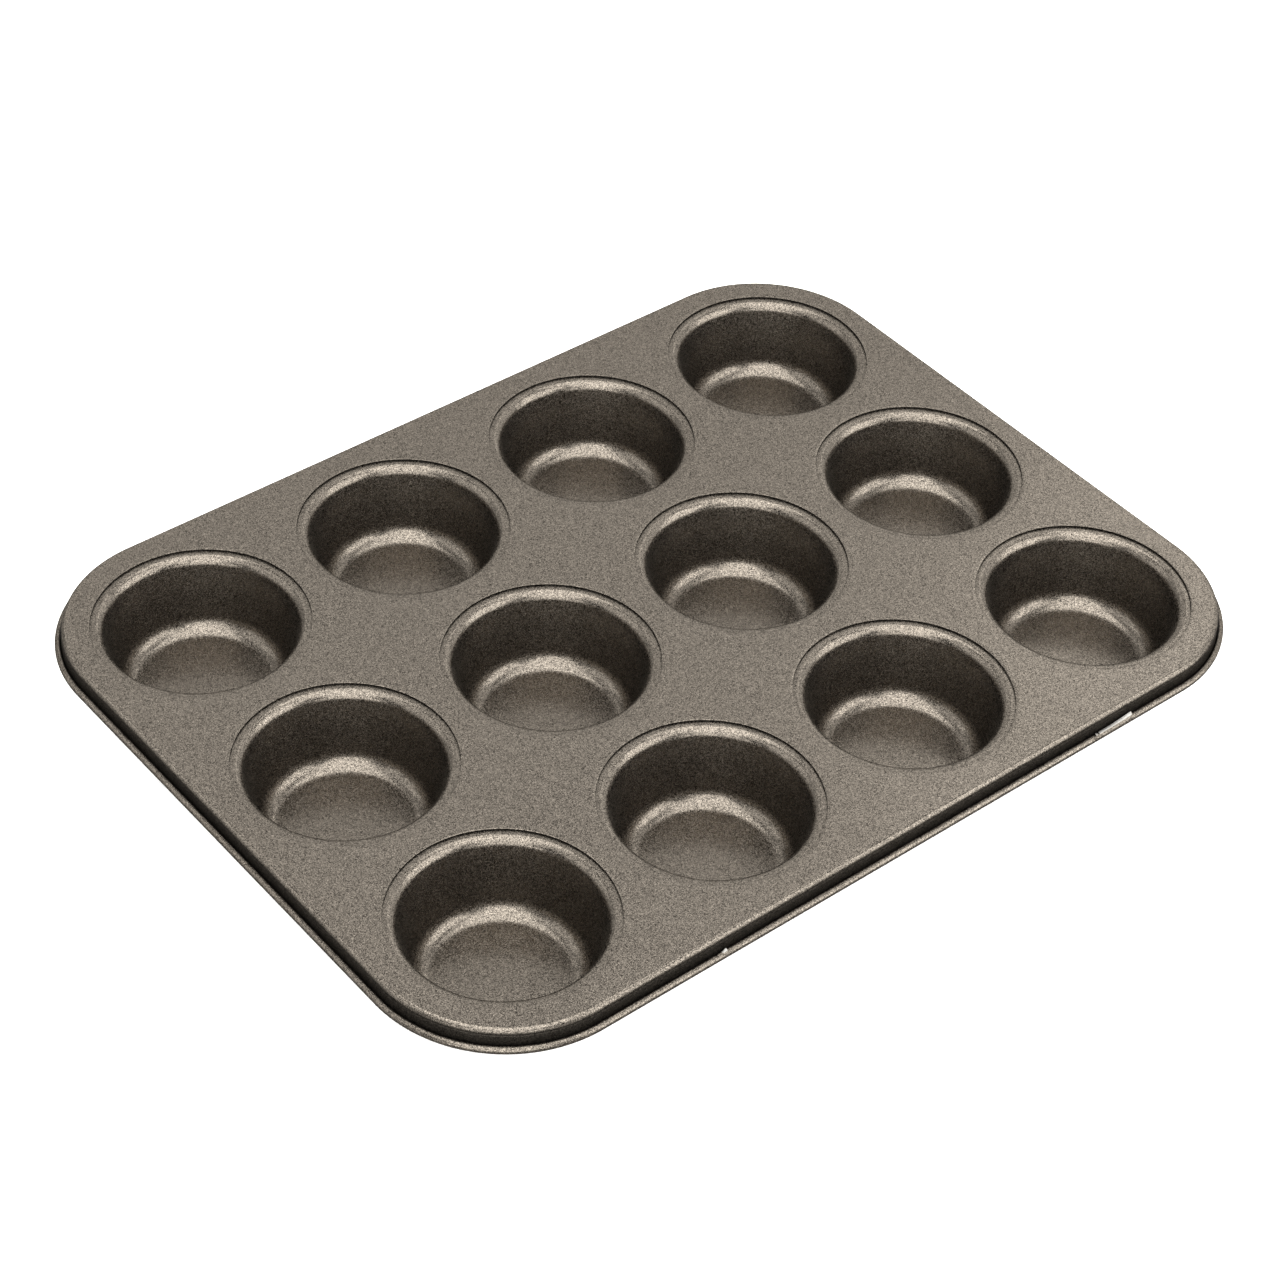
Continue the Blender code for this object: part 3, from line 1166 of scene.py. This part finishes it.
class TIN_OT_add_deck(bpy.types.Operator):
    """Add the pressed deck with its skirt and rolled rim"""

    bl_idname = "tin.add_deck"
    bl_label = "Pressed Deck"

    def execute(self, context):
        make_deck(coated_steel("Deck coating", 1.0))
        return {"FINISHED"}


class TIN_OT_add_cups(bpy.types.Operator):
    """Add the twelve drawn cups"""

    bl_idname = "tin.add_cups"
    bl_label = "Drawn Cups"

    def execute(self, context):
        tree = build_cup_tree()
        material = coated_steel("Cup coating", 0.97)
        for name in CUP_NAMES:
            make_cup(name, tree, material)
        return {"FINISHED"}


class TIN_OT_add_wire(bpy.types.Operator):
    """Add the wire that the rim is rolled around"""

    bl_idname = "tin.add_wire"
    bl_label = "Rim Wire"

    def execute(self, context):
        make_wire(build_wire_tree(), wire_steel())
        return {"FINISHED"}


class TIN_OT_add_studio(bpy.types.Operator):
    """Add the floor, the lights, the surroundings and the camera"""

    bl_idname = "tin.add_studio"
    bl_label = "Studio"

    def execute(self, context):
        settings = context.scene.tin_studio
        add_floor(settings)
        add_surroundings(settings)
        add_camera()
        panels = (
            # bearing, elevation, half width and half height in degrees, then brightness
            ("Top panel", 180.0, 70.0, 25.0, 47.0, settings.top_light),
            ("Front panel", 180.0, 9.0, 32.0, 13.0, settings.front_light),
            ("Right panel", 102.0, 28.0, 24.0, 28.0, settings.right_light),
            ("Back right panel", 45.0, 26.0, 26.0, 28.0, settings.back_light * 1.25),
            ("Back panel", -8.0, 28.0, 27.0, 28.0, settings.back_light),
            ("Back left panel", -55.0, 26.0, 20.0, 26.0, settings.back_light * 0.65),
            ("Left panel", -100.0, 36.0, 25.0, 20.0, settings.left_light),
            ("Low left panel", -100.0, 8.0, 25.0, 8.0, settings.left_light * 0.6),
        )
        for name, *degrees, brightness in panels:
            add_panel_light(name, *map(radians, degrees), brightness)
        return {"FINISHED"}


class TIN_PT_panel(bpy.types.Panel):
    """Lists the pieces of the tin and their sizes"""

    bl_idname = "TIN_PT_panel"
    bl_label = "Muffin Tin"
    bl_space_type = "VIEW_3D"
    bl_region_type = "UI"
    bl_category = "Muffin Tin"

    def draw(self, context):
        for operator, group in PANEL_ROWS:
            box = self.layout.box()
            if operator:
                box.operator(operator)
            settings = getattr(context.scene, group)
            for key in settings.bl_rna.properties.keys():
                if key not in ("rna_type", "name"):
                    box.prop(settings, key)


PANEL_ROWS = (
    ("tin.add_deck", "tin_deck"),
    ("tin.add_cups", "tin_cup"),
    ("tin.add_wire", "tin_wire"),
    ("tin.add_studio", "tin_studio"),
    (None, "tin_finish"),
)
SETTINGS = {
    "tin_deck": TinDeckSettings,
    "tin_cup": TinCupSettings,
    "tin_wire": TinWireSettings,
    "tin_finish": TinFinishSettings,
    "tin_studio": TinStudioSettings,
}
CLASSES = (
    *SETTINGS.values(),
    TIN_OT_add_deck,
    TIN_OT_add_cups,
    TIN_OT_add_wire,
    TIN_OT_add_studio,
    TIN_PT_panel,
)


def register():
    for cls in CLASSES:
        bpy.utils.register_class(cls)
    for name, group in SETTINGS.items():
        setattr(bpy.types.Scene, name, bpy.props.PointerProperty(type=group))


def unregister():
    for name in SETTINGS:
        delattr(bpy.types.Scene, name)
    for cls in reversed(CLASSES):
        bpy.utils.unregister_class(cls)


def main():
    register()
    bpy.ops.tin.add_deck()
    bpy.ops.tin.add_cups()
    bpy.ops.tin.add_wire()
    bpy.ops.tin.add_studio()


if __name__ == "__main__":
    main()
